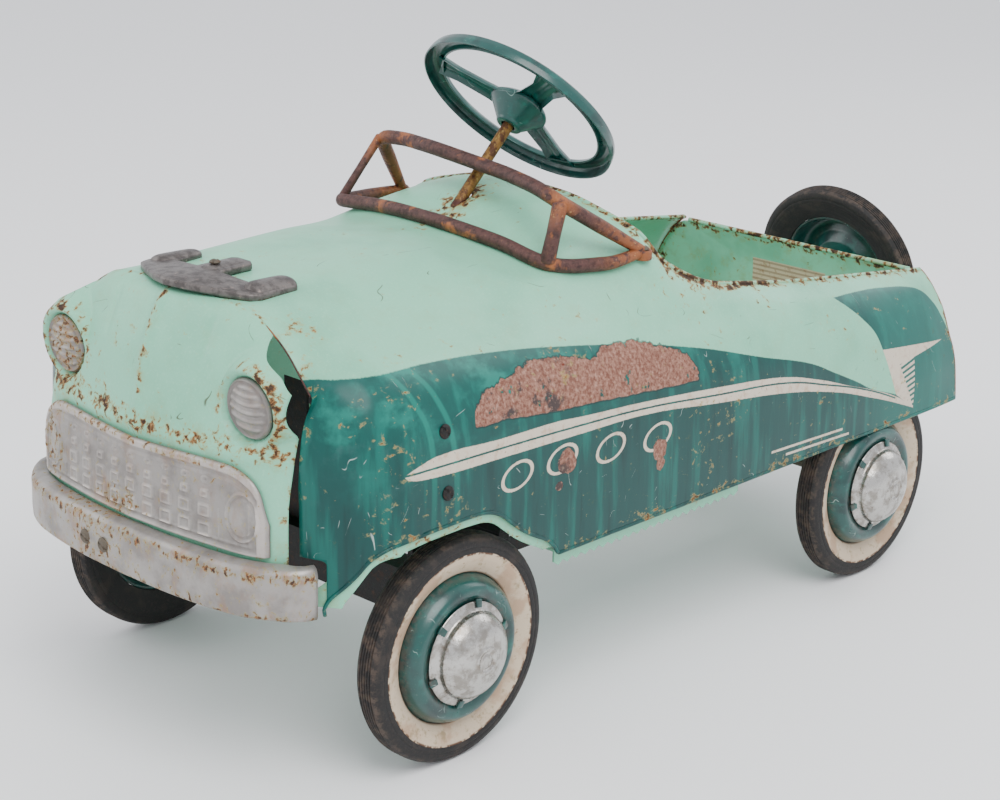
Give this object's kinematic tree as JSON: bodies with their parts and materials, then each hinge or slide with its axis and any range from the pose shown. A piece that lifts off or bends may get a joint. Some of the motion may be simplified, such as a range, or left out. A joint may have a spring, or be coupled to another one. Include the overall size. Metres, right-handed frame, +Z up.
{
  "type": "pedal car",
  "caption": "Vintage pressed-steel child's pedal car with steered front wheels, crank pedal drive, low windscreen frame and rear-mounted spare wheel.",
  "frame": {"origin": "centre of the length and width, on the floor under the tyres", "axes": "-Y towards the front of the car, +X towards its left side, +Z up"},
  "size_m": [0.493, 1.081, 0.5781],
  "materials": {
    "mint_paint": "worn gloss enamel",
    "teal_paint": "worn gloss enamel",
    "silver_paint": "worn metallic paint with rust",
    "grey_casting": "dull cast",
    "rusted_frame": "rusted",
    "tyre_rubber": "worn matte",
    "hubcap_chrome": "pitted polish",
    "worn_steel": "rust-stained",
    "black_steel": "dull black",
    "pedal_rubber": "ribbed matte"
  },
  "bodies": {
    "chassis": {"body_shell": "mint_paint", "nose_panel": "mint_paint", "rear_panel": "mint_paint", "seat_pan": "mint_paint", "sill_rail_left": "mint_paint", "sill_rail_right": "mint_paint", "grille_panel": "silver_paint", "front_bumper": "silver_paint", "headlight_left": "silver_paint", "headlight_right": "silver_paint", "hood_ornament": "grey_casting", "windscreen_frame": "rusted_frame", "wheel_disc_spare": "teal_paint", "tyre_spare": "tyre_rubber", "hubcap_spare": "hubcap_chrome", "ornament_screw": "worn_steel", "windscreen_bolt_left": "worn_steel", "windscreen_bolt_right": "worn_steel", "bumper_bolt_inner": "worn_steel", "bumper_bolt_outer": "worn_steel", "steering_bracket": "black_steel", "front_axle_beam": "black_steel", "front_hanger_left": "black_steel", "front_hanger_right": "black_steel", "spare_bracket": "black_steel", "axle_hanger_left": "black_steel", "axle_hanger_right": "black_steel", "pedal_hanger_rod": "black_steel", "side_bolt_upper_left": "black_steel", "side_bolt_lower_left": "black_steel", "side_bolt_upper_right": "black_steel", "side_bolt_lower_right": "black_steel"},
    "steering": {"steering_wheel": "teal_paint", "steering_wheel_nut": "worn_steel", "steering_shaft": "worn_steel"},
    "spindle_left": {"spindle_left": "black_steel"},
    "spindle_right": {"spindle_right": "black_steel"},
    "tie_rod": {"tie_rod": "black_steel"},
    "front_wheel_left": {"tyre_front_left": "tyre_rubber", "wheel_disc_front_left": "teal_paint", "hubcap_front_left": "hubcap_chrome"},
    "front_wheel_right": {"tyre_front_right": "tyre_rubber", "wheel_disc_front_right": "teal_paint", "hubcap_front_right": "hubcap_chrome"},
    "rear_axle": {"rear_axle": "worn_steel", "tyre_rear_left": "tyre_rubber", "wheel_disc_rear_left": "teal_paint", "hubcap_rear_left": "hubcap_chrome"},
    "rear_wheel_right": {"tyre_rear_right": "tyre_rubber", "wheel_disc_rear_right": "teal_paint", "hubcap_rear_right": "hubcap_chrome"},
    "drive_rod_left": {"drive_rod_left": "black_steel"},
    "drive_rod_right": {"drive_rod_right": "black_steel"},
    "pedal_left": {"pedal_arm_left": "black_steel", "pedal_pad_left": "pedal_rubber"},
    "pedal_right": {"pedal_arm_right": "black_steel", "pedal_pad_right": "pedal_rubber"}
  },
  "joints": [
    {"name": "steering_turn", "type": "hinge", "parent": "chassis", "child": "steering", "pos_m": [0, -0.0471, 0.506], "axis": [0, 0.7071, 0.7071], "range_deg": [-25, 25]},
    {"name": "kingpin_left", "type": "hinge", "parent": "chassis", "child": "spindle_left", "pos_m": [0.152, -0.3336, 0.1016], "axis": [0, 0, 1], "range_deg": [-25, 25]},
    {"name": "kingpin_right", "type": "hinge", "parent": "chassis", "child": "spindle_right", "pos_m": [-0.152, -0.3336, 0.1016], "axis": [0, 0, 1], "range_deg": [-25, 25]},
    {"name": "tie_rod_pivot", "type": "hinge", "parent": "spindle_left", "child": "tie_rod", "pos_m": [0.152, -0.2886, 0.201], "axis": [0, 0, 1], "range_deg": [-25, 25]},
    {"name": "front_wheel_spin_left", "type": "hinge", "parent": "spindle_left", "child": "front_wheel_left", "pos_m": [0.1985, -0.3336, 0.1016], "axis": [1, 0, 0], "continuous": true},
    {"name": "front_wheel_spin_right", "type": "hinge", "parent": "spindle_right", "child": "front_wheel_right", "pos_m": [-0.1985, -0.3336, 0.1016], "axis": [1, 0, 0], "continuous": true},
    {"name": "rear_axle_spin", "type": "hinge", "parent": "chassis", "child": "rear_axle", "pos_m": [0, 0.2714, 0.1016], "axis": [1, 0, 0], "continuous": true},
    {"name": "rear_wheel_spin_right", "type": "hinge", "parent": "rear_axle", "child": "rear_wheel_right", "pos_m": [-0.2025, 0.2714, 0.1016], "axis": [1, 0, 0], "continuous": true},
    {"name": "rod_pivot_left", "type": "hinge", "parent": "rear_axle", "child": "drive_rod_left", "pos_m": [0.08, 0.2334, 0.1016], "axis": [1, 0, 0], "continuous": true},
    {"name": "rod_pivot_right", "type": "hinge", "parent": "rear_axle", "child": "drive_rod_right", "pos_m": [-0.08, 0.3094, 0.1016], "axis": [1, 0, 0], "continuous": true},
    {"name": "pedal_swing_left", "type": "hinge", "parent": "chassis", "child": "pedal_left", "pos_m": [0.09, -0.1811, 0.3], "axis": [1, 0, 0], "range_deg": [0, 22]},
    {"name": "pedal_swing_right", "type": "hinge", "parent": "chassis", "child": "pedal_right", "pos_m": [-0.09, -0.1811, 0.3], "axis": [1, 0, 0], "range_deg": [-22, 0]}
  ],
  "couplings": [
    {"joint": "kingpin_left", "follows": "steering_turn", "ratio": 1},
    {"joint": "kingpin_right", "follows": "steering_turn", "ratio": 1},
    {"joint": "tie_rod_pivot", "follows": "steering_turn", "ratio": -1},
    {"joint": "rod_pivot_left", "follows": "rear_axle_spin", "ratio": -1},
    {"joint": "rod_pivot_right", "follows": "rear_axle_spin", "ratio": -1},
    {"joint": "pedal_swing_right", "follows": "pedal_swing_left", "ratio": -1}
  ]
}
